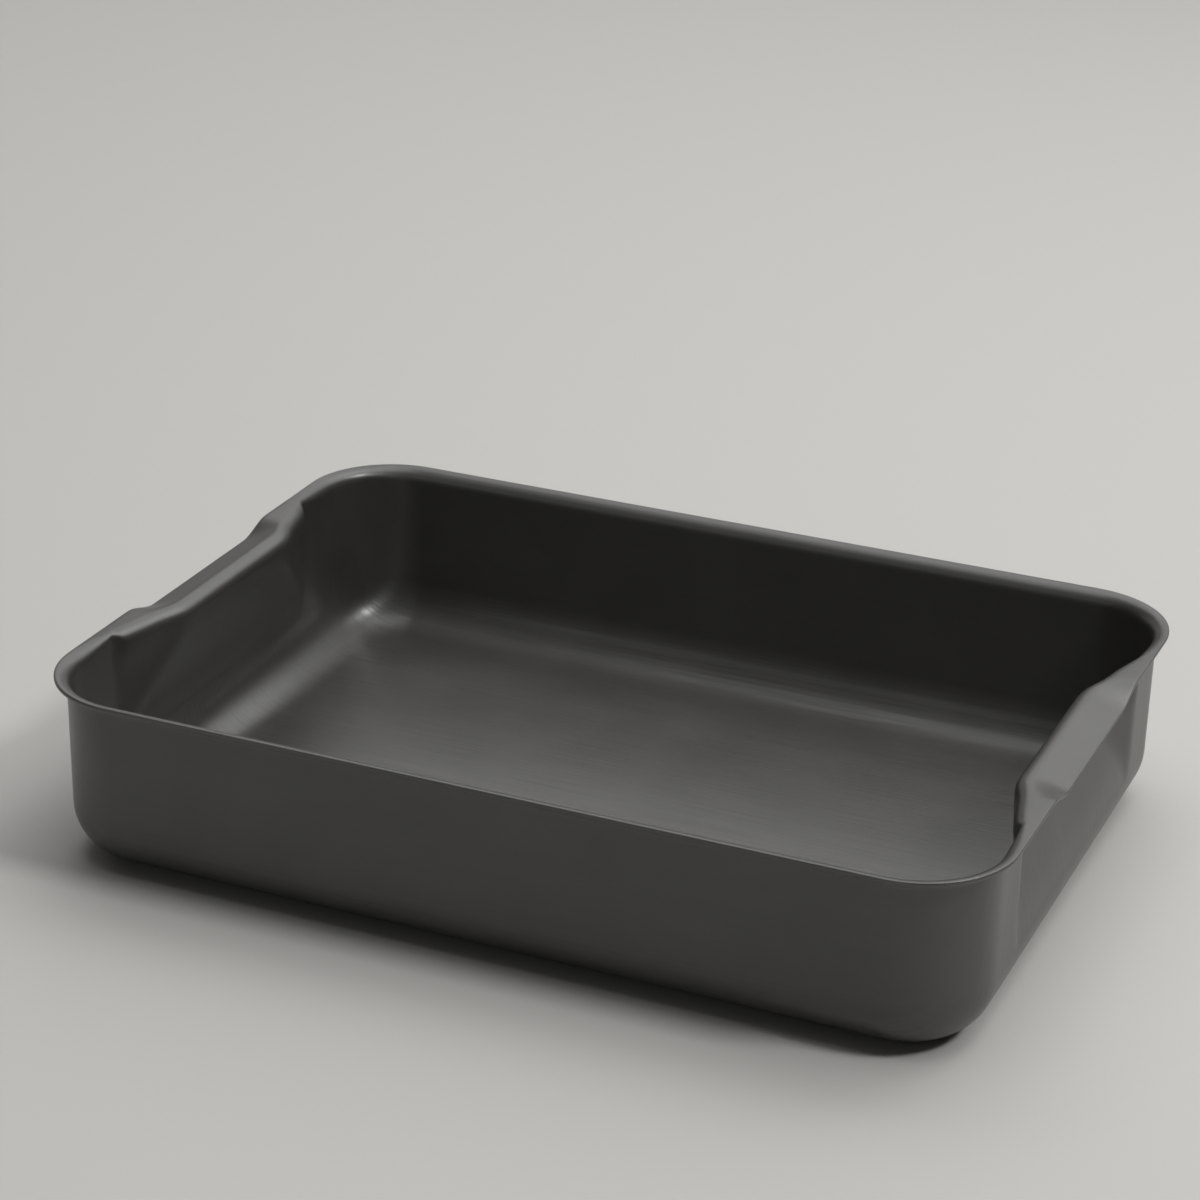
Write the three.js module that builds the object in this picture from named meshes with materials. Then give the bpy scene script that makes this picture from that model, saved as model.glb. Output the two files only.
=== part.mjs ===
import * as THREE from 'three';

// A roasting pan pressed from one sheet of aluminium and hard anodised.
// Millimetres, +Z up. The origin is the middle of the base's underside, and X runs along the length.
// The sheet is drawn into a tray, its rim is turned outwards, and a handle is pressed into each short end.

// Overall sizes, over the rim
const panLength = 370;
const panWidth = 268;
const panHeight = 72.5;

// Sheet and drawn tray
const sheet = 1.5;
const rimCornerRadius = 37; // in plan, at the rim's edge
const baseRadius = 21; // outside, between wall and base
const wallDraft = THREE.MathUtils.degToRad(0.45); // the walls open upwards
const lipOverhang = 4.6; // the rim's edge beyond the outside of the wall
const lipFlat = 0.6; // level strip between the lip's bend and its edge

// Pressed handles
const cornerToCrease = 21.5; // plain end wall between the corner's arc and the handle's crease
const facetRun = 36; // along the end, from the crease to the full depth of the press
const pressDepth = 13.2; // how far the top of the end wall is pushed in
const pressRise = 5; // plain wall between the base's bend and the foot of the press
const kneeToBend = 2; // plain wall between the top of the press and the ledge's bend
const ledgeDrop = 4.5; // the ledge's outer edge below the rim
const dropRun = 16; // along the rim, from its full height to the full drop
const dropToFullDepth = 1.5; // the full drop is reached this far inside the full depth of the press

// Smoothness of the facets
const cornerSteps = 9;
const bendSteps = 7;
const facetSteps = 8;
const gripSteps = 4;

// Sizes that follow from those above
const lipRadius = lipOverhang + sheet - lipFlat; // upper face of the sheet
const innerBaseRadius = baseRadius - sheet;
const cornerCentreX = panLength / 2 - rimCornerRadius;
const cornerCentreY = panWidth / 2 - rimCornerRadius;
const creaseY = cornerCentreY - cornerToCrease;
const fullDepthY = creaseY - facetRun;
const fullDropY = fullDepthY - dropToFullDepth;
const footHeight = baseRadius + pressRise;
const kneeHeight = panHeight - lipRadius - kneeToBend;
const leastKneeRise = (kneeHeight - footHeight) / (facetSteps * facetSteps);

// Inner face of the plain wall at a height, measured outwards from the line of corner centres
function innerWallAt(height) {
  const atRim = rimCornerRadius - lipOverhang - sheet / Math.cos(wallDraft);
  return atRim - (panHeight - height) * Math.tan(wallDraft);
}

// Inner and upper face of the sheet in section, from the flat floor up the wall and out to the rim's edge.
// Press is the share of the full press depth, and drop is the share of the full drop of the ledge.
function innerSection(press, drop) {
  const baseCentreHeight = baseRadius;
  const baseCentre = innerWallAt(baseCentreHeight) - innerBaseRadius / Math.cos(wallDraft);
  const baseBend = new THREE.EllipseCurve(
    baseCentre, baseCentreHeight, innerBaseRadius, innerBaseRadius, -Math.PI / 2, -wallDraft, false);

  const foot = new THREE.Vector2(innerWallAt(footHeight), footHeight);
  const kneeRise = Math.max(press * (kneeHeight - footHeight), leastKneeRise);
  const knee = new THREE.Vector2(
    innerWallAt(footHeight + kneeRise) - press * pressDepth, footHeight + kneeRise);

  const lipCentreHeight = panHeight - lipRadius;
  const plainLipCentre = innerWallAt(lipCentreHeight) + lipRadius / Math.cos(wallDraft);
  const lipCentre = new THREE.Vector2(plainLipCentre - press * pressDepth, lipCentreHeight);
  const edge = new THREE.Vector2(rimCornerRadius, panHeight - drop * ledgeDrop);
  const reach = edge.clone().sub(lipCentre);
  const bendEnd = reach.angle() + Math.acos(lipRadius / reach.length()); // the ledge is tangent to the bend
  const lipBend = new THREE.EllipseCurve(
    lipCentre.x, lipCentre.y, lipRadius, lipRadius, Math.PI - wallDraft, bendEnd, true);

  return [...baseBend.getPoints(bendSteps), foot, knee, ...lipBend.getPoints(bendSteps), edge];
}

// The section moved sideways by the sheet's thickness, with mitred corners: its outer and under face
function outerSection(inner) {
  const directions = inner.slice(1).map((point, i) => point.clone().sub(inner[i]).normalize());
  return inner.map((point, i) => {
    const before = directions[Math.max(i - 1, 0)];
    const after = directions[Math.min(i, directions.length - 1)];
    const along = before.clone().add(after).normalize();
    const mitre = sheet / along.dot(after);
    return new THREE.Vector2(point.x + along.y * mitre, point.y - along.x * mitre);
  });
}

// Stations of one corner, counter-clockwise. Quarter 0 is the corner at +X and +Y.
function cornerStations(quarter) {
  const stations = [];
  const start = quarter * Math.PI / 2;
  const middle = start + Math.PI / 4;
  const centreX = Math.sign(Math.cos(middle)) * cornerCentreX;
  const centreY = Math.sign(Math.sin(middle)) * cornerCentreY;
  for (let step = 0; step <= cornerSteps; step += 1) {
    const angle = start + step / cornerSteps * Math.PI / 2;
    const outward = new THREE.Vector2(Math.cos(angle), Math.sin(angle));
    stations.push({ x: centreX, y: centreY, outward, press: 0, drop: 0 });
  }
  return stations;
}

// Stations across the handle of one end, counter-clockwise. Side is +1 at the +X end and -1 at the other.
function handleStations(side) {
  const places = [];
  for (let step = 0; step < facetSteps; step += 1) {
    places.push(-creaseY + step / facetSteps * facetRun);
  }
  for (let step = 0; step <= gripSteps; step += 1) {
    places.push(-fullDepthY + step / gripSteps * 2 * fullDepthY);
  }
  for (let step = 1; step <= facetSteps; step += 1) {
    places.push(fullDepthY + step / facetSteps * facetRun);
  }
  return places.map((place) => ({
    x: side * cornerCentreX,
    y: side * place,
    outward: new THREE.Vector2(side, 0),
    press: THREE.MathUtils.clamp((creaseY - Math.abs(place)) / facetRun, 0, 1),
    drop: 1 - THREE.MathUtils.smoothstep(Math.abs(place), fullDropY, fullDropY + dropRun),
  }));
}

// One closed sheet, lofted through the sections at all stations and closed by the flat base
function panGeometry() {
  const stations = [
    ...handleStations(1),
    ...cornerStations(0),
    ...cornerStations(1),
    ...handleStations(-1),
    ...cornerStations(2),
    ...cornerStations(3),
  ];
  const positions = [];
  for (const { x, y, outward, press, drop } of stations) {
    const inner = innerSection(press, drop);
    for (const point of [...inner, ...outerSection(inner).reverse()]) {
      positions.push(x + outward.x * point.x, y + outward.y * point.x, point.y);
    }
  }

  const rowLength = positions.length / 3 / stations.length;
  const floorCentre = positions.length / 3;
  const baseCentre = floorCentre + 1;
  positions.push(0, 0, sheet);
  positions.push(0, 0, 0);

  const triangles = [];
  for (let station = 0; station < stations.length; station += 1) {
    const here = station * rowLength;
    const next = (station + 1) % stations.length * rowLength;
    for (let i = 0; i < rowLength - 1; i += 1) {
      triangles.push(here + i, here + i + 1, next + i + 1);
      triangles.push(here + i, next + i + 1, next + i);
    }
    triangles.push(floorCentre, here, next);
    triangles.push(baseCentre, next + rowLength - 1, here + rowLength - 1);
  }

  const geometry = new THREE.BufferGeometry();
  geometry.setAttribute('position', new THREE.Float32BufferAttribute(positions, 3));
  geometry.setIndex(triangles);
  geometry.computeVertexNormals();
  return geometry;
}

// Hard anodised aluminium: a dark grey, satin oxide layer that hides the metal's own shine
const hardAnodised = new THREE.MeshStandardMaterial({ color: 0x54534e, roughness: 0.4, metalness: 0 });

const pan = new THREE.Mesh(panGeometry(), hardAnodised);
pan.name = 'pan';

const roastingPan = new THREE.Group();
roastingPan.add(pan);

export default roastingPan;
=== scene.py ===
import math

import bmesh
import bpy
from mathutils import Matrix, Vector


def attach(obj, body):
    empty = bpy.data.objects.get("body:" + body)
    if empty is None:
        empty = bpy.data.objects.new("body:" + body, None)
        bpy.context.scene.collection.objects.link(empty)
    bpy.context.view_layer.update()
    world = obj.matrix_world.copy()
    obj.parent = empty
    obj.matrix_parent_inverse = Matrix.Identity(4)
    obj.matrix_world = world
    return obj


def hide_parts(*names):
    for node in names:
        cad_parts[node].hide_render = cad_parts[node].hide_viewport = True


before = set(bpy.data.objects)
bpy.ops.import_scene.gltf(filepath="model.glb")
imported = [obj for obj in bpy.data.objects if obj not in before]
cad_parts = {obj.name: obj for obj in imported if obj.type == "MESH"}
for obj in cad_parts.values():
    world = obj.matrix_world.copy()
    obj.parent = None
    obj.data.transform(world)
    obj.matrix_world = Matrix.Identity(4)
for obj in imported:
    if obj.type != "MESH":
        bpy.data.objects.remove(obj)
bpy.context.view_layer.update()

MM = 0.001

# The pan's sizes, as its solid has them. Lengths are in metres.
LENGTH = 370 * MM
WIDTH = 268 * MM
HEIGHT = 72.5 * MM
SHEET = 1.5 * MM
RIM_CORNER = 37 * MM  # radius in plan at the rim's edge
BASE_RADIUS = 21 * MM  # outside, between wall and base
DRAFT = math.radians(0.45)  # the walls open upwards
LIP_RADIUS = 5.5 * MM  # upper face of the lip's bend
LIP_FLAT = 0.6 * MM  # level strip between the bend and the rim's edge
INNER_BASE_RADIUS = BASE_RADIUS - SHEET
LIP_OVERHANG = LIP_RADIUS + LIP_FLAT - SHEET
CORNER_X = LENGTH / 2 - RIM_CORNER  # centres of the corners
CORNER_Y = WIDTH / 2 - RIM_CORNER
WALL_TOP = HEIGHT - LIP_RADIUS
LIP_ARC = LIP_RADIUS * (math.pi / 2 - DRAFT)
LIP_GIRTH = LIP_ARC + LIP_FLAT

# The handle pressed into each short end
CREASE_Y = 75 * MM
FACET_RUN = 35.5 * MM  # along the end, from the crease to the full depth
PRESS_DEPTH = 13.2 * MM
FOOT_HEIGHT = 26 * MM
KNEE_HEIGHT = 65 * MM
LEDGE_DROP = 4.5 * MM
DROP_FROM_Y = 55 * MM
DROP_FULL_Y = 36 * MM
FOLD_SOFTNESS = 0.15  # share of the depth over which the fold between the pressed faces is rounded
CREASE_SOFTNESS = 0.05
FOOT_SOFTNESS = 0.25
PINCH_RADIUS = 1.6 * MM  # the lip's bend where the crease runs into it
PINCH_RUN_PLAIN = 24 * MM  # along the rim, from the crease to the plain bend
PINCH_RUN_LEDGE = 5 * MM  # along the ledge, from the crease to its full bend
PINCH_FALL = 2  # the power by which the pinch fades along its run
BULGE = 2.2 * MM  # inwards, of the ledge's bend just inside the crease
BULGE_RISE = 4.5 * MM  # along the ledge, from the crease to the full bulge
BULGE_RUN = 26 * MM  # from the crease to the end of the bulge
BULGE_HEIGHT = 16 * MM  # down the wall from the lip's bend

# Fineness of the sheet's mesh
CORNER_STEPS = 22
END_STEP = 0.8 * MM
LIP_RINGS = 16
WALL_RING = 1.7 * MM
BASE_RINGS = 14
FLOOR_MARGIN = 3 * MM
EDGE_ROUNDING = 0.4 * MM
EDGE_SEGMENTS = 3
EDGE_ANGLE = math.radians(60)
NEAR = 0.1 * MM  # places closer than this count as the same

# The finish
GRAIN_LENGTH = 60 * MM
GRAIN_WIDTH = 1.2 * MM
GRAIN_DEPTH = 0.1 * MM
FULL_GRAIN_HEIGHT = 6 * MM  # the grain is whole up to here, and rubbed down from the next height on
RUBBED_GRAIN_HEIGHT = 30 * MM
RUBBED_GRAIN = 0.25  # the share of it that is left there
CLOUD_WIDTH = 35 * MM
NOISE_MIDDLE = 0.5
NOISE_LOW = 0.3  # most of a noise lies between these two
NOISE_HIGH = 0.7
DARK_OXIDE = "#2e2d2a"
PALE_OXIDE = "#3b3a37"
DULL_ROUGHNESS = 0.56
BRIGHT_ROUGHNESS = 0.38

# The camera stands at the front, to the right of the pan's middle
CAMERA_AZIMUTH = math.radians(22.89)
CAMERA_ELEVATION = math.radians(23.57)
CAMERA_ROLL = math.radians(1.32)
CAMERA_AIM = Vector((-90.1, 188.4, 0)) * MM
CAMERA_DISTANCE = 1.463
LENS_MM = 98.28
SENSOR_MM = 36

# Broad light from behind and above, and a small box to the right that draws the bright spot and
# line on the left bend. For each box: azimuth and elevation in degrees, width, height, watts.
SOFTBOX_DISTANCE = 2.5
SOFTBOXES = {
    "back_softbox": (5, 37, 3.5, 1.06, 15.5),
    "back_top_softbox": (-10, 62, 2.9, 1.06, 18),
    "right_top_softbox": (60, 62, 1.8, 1.35, 16.5),
    "right_softbox": (93, 50, 0.4, 0.4, 23),
    "top_softbox": (0, 89.9, 1.6, 1.6, 16),
    "left_softbox": (-105, 60, 2.3, 1.35, 2.4),
    "left_back_softbox": (-55, 16, 2.3, 1.06, 3),
    "front_softbox": (-158, 25, 1.35, 0.7, 1.7),
}
ROOM_LIGHT = 0.03
FLOOR_SIZE = 12


def linear(hex_colour):
    """sRGB hex to linear RGBA."""
    channels = [int(hex_colour[i:i + 2], 16) / 255 for i in (1, 3, 5)]
    return [c / 12.92 if c <= 0.04045 else ((c + 0.055) / 1.055) ** 2.4 for c in channels] + [1]


def mix(a, b, share):
    return a + (b - a) * share


def clamp(value):
    return min(max(value, 0), 1)


def smooth_min(a, b, width):
    """The lesser of two, rounded where they come within width of each other."""
    overlap = max(width - abs(a - b), 0) / width
    return min(a, b) - overlap * overlap * width / 4


def smooth_max(a, b, width):
    return -smooth_min(-a, -b, width)


def smooth_step(value, low, high):
    share = clamp((value - low) / (high - low))
    return share * share * (3 - 2 * share)


def wall_at(height):
    """Inner face of the plain wall: its distance out from the line of corner centres."""
    at_rim = RIM_CORNER - LIP_OVERHANG - SHEET / math.cos(DRAFT)
    return at_rim - (HEIGHT - height) * math.tan(DRAFT)


def lip_section(along, press=0.0, drop=0.0, pinch=0.0):
    """A point of the lip's upper face: distance out, and height. Along is measured on the plain
    lip, from the top of the wall to the edge."""
    radius = mix(LIP_RADIUS, PINCH_RADIUS, pinch)
    centre_height = HEIGHT - radius
    centre = wall_at(centre_height) + radius / math.cos(DRAFT) - press * PRESS_DEPTH
    edge = Vector((RIM_CORNER, HEIGHT - drop * LEDGE_DROP))
    reach = edge - Vector((centre, centre_height))
    start = math.pi - DRAFT
    end = math.atan2(reach.y, reach.x) + math.acos(clamp(radius / reach.length))
    bend_share = mix(LIP_ARC, LIP_GIRTH / 2, smooth_step(press + pinch, 0, 1))
    angle = mix(start, end, clamp(along / bend_share))
    bend = Vector((centre + radius * math.cos(angle), centre_height + radius * math.sin(angle)))
    return bend.lerp(edge, clamp((along - bend_share) / (LIP_GIRTH - bend_share)))


def section_rings():
    """Points of the plain section from the rim's edge to the floor: distance out, and height."""
    points = [lip_section(LIP_GIRTH * (1 - i / LIP_RINGS)) for i in range(LIP_RINGS + 1)]
    base_centre = wall_at(BASE_RADIUS) - INNER_BASE_RADIUS / math.cos(DRAFT)
    wall_foot = BASE_RADIUS - INNER_BASE_RADIUS * math.sin(DRAFT)
    wall_rings = round((WALL_TOP - wall_foot) / WALL_RING)
    for i in range(1, wall_rings):
        height = mix(WALL_TOP, wall_foot, i / wall_rings)
        points.append(Vector((wall_at(height), height)))
    for i in range(BASE_RINGS + 1):
        angle = mix(-DRAFT, -math.pi / 2, i / BASE_RINGS)
        points.append(Vector((base_centre + INNER_BASE_RADIUS * math.cos(angle),
                              BASE_RADIUS + INNER_BASE_RADIUS * math.sin(angle))))
    points.append(Vector((base_centre - FLOOR_MARGIN, SHEET)))
    return points


def apply_modifier(piece, kind, **settings):
    modifier = piece.modifiers.new(kind.lower(), kind)
    for name, value in settings.items():
        setattr(modifier, name, value)
    bpy.context.view_layer.objects.active = piece
    bpy.ops.object.modifier_apply(modifier=modifier.name)


def draw_sheet():
    """The sheet's inner face: a blank of the rim's outline, inset and lowered ring by ring down to
    the floor."""
    bpy.ops.object.select_all(action="DESELECT")
    bpy.ops.mesh.primitive_plane_add(size=1)
    sheet = bpy.context.object
    sheet.name = "roasting_pan"
    bpy.ops.object.mode_set(mode="EDIT")
    bpy.ops.transform.resize(value=(LENGTH, WIDTH, 1))
    bpy.ops.transform.translate(value=(0, 0, HEIGHT))
    bpy.ops.mesh.bevel(offset=RIM_CORNER, offset_type="OFFSET", affect="VERTICES",
                       segments=CORNER_STEPS)

    # The short ends get many points, for the handles
    for end in (-1, 1):
        bpy.ops.mesh.select_all(action="DESELECT")
        bpy.ops.mesh.select_mode(type="EDGE")
        for edge in bmesh.from_edit_mesh(sheet.data).edges:
            middle = (edge.verts[0].co + edge.verts[1].co) / 2
            at_end = abs(middle.x - end * LENGTH / 2) < NEAR
            edge.select_set(at_end and edge.calc_length() > CORNER_Y)
        bpy.ops.mesh.subdivide(number_cuts=round(2 * CORNER_Y / END_STEP) - 1)

    bpy.ops.mesh.select_mode(type="FACE")
    bpy.ops.mesh.select_all(action="SELECT")
    rings = section_rings()
    for outer, inner in zip(rings, rings[1:]):
        bpy.ops.mesh.inset(thickness=outer.x - inner.x, depth=inner.y - outer.y,
                           use_even_offset=True)
    bpy.ops.object.mode_set(mode="OBJECT")
    return sheet


def unfold(sheet):
    """A UV map in metres of where each point of the drawn sheet lay on the flat blank."""
    rings = section_rings()[::-1]
    girths = [0.0]
    for inner, outer in zip(rings, rings[1:]):
        girths.append(girths[-1] + (outer - inner).length)

    blank = sheet.data.uv_layers.new(name="blank")
    for loop in sheet.data.loops:
        place = sheet.data.vertices[loop.vertex_index].co
        root = Vector((max(-CORNER_X, min(place.x, CORNER_X)),
                       max(-CORNER_Y, min(place.y, CORNER_Y))))
        outward = place.to_2d() - root
        out = outward.length
        ring = min(range(len(rings)),
                   key=lambda i: abs(rings[i].x - out) + abs(rings[i].y - place.z))
        if out > 0:
            outward *= (rings[0].x + girths[ring]) / out
        blank.uv[loop.index].vector = root + outward


def press_share(y, height):
    """How far a point of an end wall is pressed in, as a share of the full depth."""
    leaning = smooth_max((height - FOOT_HEIGHT) / (KNEE_HEIGHT - FOOT_HEIGHT), 0, FOOT_SOFTNESS)
    side = smooth_max((CREASE_Y - abs(y)) / FACET_RUN, 0, CREASE_SOFTNESS)
    share = smooth_min(smooth_min(leaning, 1, FOLD_SOFTNESS), smooth_min(side, 1, FOLD_SOFTNESS),
                       FOLD_SOFTNESS)
    return max(share, 0)


def bulge_share(y):
    """How far the ledge's bend bulges inwards beside the crease, as a share of the full bulge."""
    inside = CREASE_Y - abs(y)
    rise = clamp(inside / BULGE_RISE)
    return rise * (2 - rise) * (1 - smooth_step(inside, BULGE_RISE, BULGE_RUN))


def pressed(place):
    """Where a point of the plain end goes when the handle is pressed into it."""
    side = math.copysign(1, place.x)
    out = abs(place.x) - CORNER_X
    if abs(place.y) > CORNER_Y or out < 0 or place.z < BASE_RADIUS:
        return place

    bulge = BULGE / PRESS_DEPTH * bulge_share(place.y)
    if place.z < WALL_TOP - NEAR:
        press = press_share(place.y, place.z)
        press += bulge * smooth_step(place.z, WALL_TOP - BULGE_HEIGHT, WALL_TOP)
        return place - Vector((side * PRESS_DEPTH * press, 0, 0))

    centre = wall_at(WALL_TOP) + LIP_RADIUS / math.cos(DRAFT)
    if out > centre:
        along = LIP_ARC + out - centre
    else:
        along = LIP_RADIUS * (math.pi - DRAFT - math.atan2(place.z - WALL_TOP, out - centre))
    drop = 1 - smooth_step(abs(place.y), DROP_FULL_Y, DROP_FROM_Y)
    past_crease = abs(place.y) - CREASE_Y
    pinch_run = PINCH_RUN_PLAIN if past_crease > 0 else PINCH_RUN_LEDGE
    pinch = clamp(1 - abs(past_crease) / pinch_run) ** PINCH_FALL
    point = lip_section(along, press_share(place.y, HEIGHT) + bulge, drop, pinch)
    return Vector((side * (CORNER_X + point.x), place.y, point.y))


def press_handles(sheet):
    """Each end is pressed by Displace modifiers, one for each way that its points move."""
    moves = [pressed(vertex.co) - vertex.co for vertex in sheet.data.vertices]
    for axis, name in ((0, "X"), (2, "Z")):
        for way in (-1, 1):
            travel = [max(way * move[axis], 0) for move in moves]
            furthest = max(travel)
            group = sheet.vertex_groups.new(name=f"press_{name}{way}")
            for index, distance in enumerate(travel):
                if distance > 0:
                    group.add([index], distance / furthest, "REPLACE")
            apply_modifier(sheet, "DISPLACE", direction=name, mid_level=0,
                           strength=way * furthest, vertex_group=group.name)
    sheet.vertex_groups.clear()


def make_pan():
    pan = draw_sheet()
    unfold(pan)
    press_handles(pan)
    apply_modifier(pan, "SOLIDIFY", thickness=SHEET, offset=-1, use_even_offset=True,
                   use_quality_normals=True)
    apply_modifier(pan, "BEVEL", width=EDGE_ROUNDING, segments=EDGE_SEGMENTS,
                   limit_method="ANGLE", angle_limit=EDGE_ANGLE, use_clamp_overlap=False)
    bpy.ops.object.shade_smooth()
    return pan


def add_node(tree, kind, settings=None, links=None):
    """One node, with its properties or socket values set and its inputs linked."""
    node = tree.nodes.new(kind)
    for name, value in (settings or {}).items():
        if name in node.inputs:
            node.inputs[name].default_value = value
        else:
            setattr(node, name, value)
    for name, output in (links or {}).items():
        tree.links.new(output, node.inputs[name])
    return node


def hard_anodised_aluminium():
    """Rolled sheet, hard anodised. The oxide is a dark and slightly warm grey that hides the metal,
    under a satin gloss of its own. The rolling grain draws the gloss out across itself, so that a
    bend across the grain has a bright line along it, and surfaces seen at a low angle are much
    lighter than those seen square on. The oxide's pores are closed by a thin clear seal, which is
    smoother and gathers the light of a lamp into a spot where two bends meet."""
    material = bpy.data.materials.new("hard_anodised_dark_grey_aluminium")
    material.use_nodes = True
    tree = material.node_tree
    shader = tree.nodes["Principled BSDF"]
    shader.inputs["IOR"].default_value = 1.7  # aluminium oxide
    shader.inputs["Anisotropic"].default_value = 0.7
    shader.inputs["Anisotropic Rotation"].default_value = 0.25  # a quarter turn, across the grain
    shader.inputs["Coat Weight"].default_value = 0.55
    shader.inputs["Coat Roughness"].default_value = 0.28
    grain = add_node(tree, "ShaderNodeTangent", {"direction_type": "UV_MAP", "uv_map": "blank"})
    tree.links.new(grain.outputs["Tangent"], shader.inputs["Tangent"])
    blank = add_node(tree, "ShaderNodeUVMap", {"uv_map": "blank"})

    # Streaks of the rolling grain. They are drawn a few times as wide as the real ones, to hold at
    # this distance.
    along_grain = add_node(tree, "ShaderNodeMapping",
                           {"Scale": (1 / GRAIN_LENGTH, 1 / GRAIN_WIDTH, 1)},
                           {"Vector": blank.outputs["UV"]})
    rolled = add_node(tree, "ShaderNodeTexNoise",
                      {"noise_dimensions": "2D", "Scale": 1, "Detail": 3, "Roughness": 0.6},
                      {"Vector": along_grain.outputs["Vector"]})
    # The die rubs the grain down where the sheet is drawn over it, so the walls keep little of it
    place = add_node(tree, "ShaderNodeTexCoord")
    height = add_node(tree, "ShaderNodeSeparateXYZ", links={"Vector": place.outputs["Object"]})
    kept = add_node(tree, "ShaderNodeMapRange",
                    {"From Min": FULL_GRAIN_HEIGHT, "From Max": RUBBED_GRAIN_HEIGHT,
                     "To Min": 1, "To Max": RUBBED_GRAIN},
                    {"Value": height.outputs["Z"]})
    streaks = add_node(tree, "ShaderNodeMix", {"data_type": "FLOAT", "A": NOISE_MIDDLE},
                       {"Factor": kept.outputs["Result"], "B": rolled.outputs["Fac"]})
    # The bath leaves slightly lighter and darker areas
    clouds = add_node(tree, "ShaderNodeTexNoise",
                      {"noise_dimensions": "2D", "Scale": 1 / CLOUD_WIDTH, "Detail": 2,
                       "Roughness": 0.5},
                      {"Vector": blank.outputs["UV"]})

    tone = add_node(tree, "ShaderNodeMix", {"data_type": "FLOAT", "Factor": 0.5},
                    {"A": streaks.outputs["Result"], "B": clouds.outputs["Fac"]})
    greys = add_node(tree, "ShaderNodeValToRGB", links={"Fac": tone.outputs["Result"]})
    dark, pale = greys.color_ramp.elements
    dark.position, dark.color = NOISE_LOW, linear(DARK_OXIDE)
    pale.position, pale.color = NOISE_HIGH, linear(PALE_OXIDE)
    satin = add_node(tree, "ShaderNodeMapRange",
                     {"From Min": NOISE_LOW, "From Max": NOISE_HIGH,
                      "To Min": DULL_ROUGHNESS, "To Max": BRIGHT_ROUGHNESS},
                     {"Value": streaks.outputs["Result"]})
    ridges = add_node(tree, "ShaderNodeBump", {"Strength": 1, "Distance": GRAIN_DEPTH},
                      {"Height": streaks.outputs["Result"]})
    tree.links.new(greys.outputs["Color"], shader.inputs["Base Color"])
    tree.links.new(satin.outputs["Result"], shader.inputs["Roughness"])
    tree.links.new(ridges.outputs["Normal"], shader.inputs["Normal"])
    return material


def pale_floor():
    material = bpy.data.materials.new("pale_floor")
    material.use_nodes = True
    shader = material.node_tree.nodes["Principled BSDF"]
    shader.inputs["Base Color"].default_value = linear("#bab9b6")
    shader.inputs["Roughness"].default_value = 0.8
    return material


def softbox(name, azimuth, elevation, width, height, power):
    """A soft light that faces the pan. Azimuth 0 is straight behind it, and 90 to its right."""
    a, e = math.radians(azimuth), math.radians(elevation)
    away = Vector((math.sin(a) * math.cos(e), math.cos(a) * math.cos(e), math.sin(e)))
    lamp = bpy.data.lights.new(name, "AREA")
    lamp.shape = "RECTANGLE"
    lamp.size = width
    lamp.size_y = height
    lamp.energy = power
    holder = bpy.data.objects.new(name, lamp)
    holder.location = away * SOFTBOX_DISTANCE
    holder.rotation_euler = away.to_track_quat("Z", "Y").to_euler()
    bpy.context.scene.collection.objects.link(holder)


pan = make_pan()
pan.data.materials.append(hard_anodised_aluminium())
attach(pan, "root")
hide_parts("pan")

bpy.ops.object.select_all(action="DESELECT")
bpy.ops.mesh.primitive_plane_add(size=FLOOR_SIZE)
floor = bpy.context.object
floor.name = "floor"
floor.data.materials.append(pale_floor())

back = Vector((math.sin(CAMERA_AZIMUTH) * math.cos(CAMERA_ELEVATION),
               -math.cos(CAMERA_AZIMUTH) * math.cos(CAMERA_ELEVATION),
               math.sin(CAMERA_ELEVATION)))
level_right = Vector((math.cos(CAMERA_AZIMUTH), math.sin(CAMERA_AZIMUTH), 0))
level_up = back.cross(level_right)
right = level_right * math.cos(CAMERA_ROLL) + level_up * math.sin(CAMERA_ROLL)
up = level_up * math.cos(CAMERA_ROLL) - level_right * math.sin(CAMERA_ROLL)
camera = bpy.data.objects.new("camera", bpy.data.cameras.new("camera"))
camera.matrix_world = (Matrix.Translation(CAMERA_AIM + back * CAMERA_DISTANCE)
                       @ Matrix((right, up, back)).transposed().to_4x4())
camera.data.sensor_width = SENSOR_MM
camera.data.lens = LENS_MM
bpy.context.scene.collection.objects.link(camera)
bpy.context.scene.camera = camera

for name, placing in SOFTBOXES.items():
    softbox(name, *placing)

world = bpy.data.worlds.new("studio")
world.use_nodes = True
world.node_tree.nodes["Background"].inputs["Color"].default_value = linear("#ffffff")
world.node_tree.nodes["Background"].inputs["Strength"].default_value = ROOM_LIGHT
bpy.context.scene.world = world
bpy.context.scene.view_settings.view_transform = "Standard"
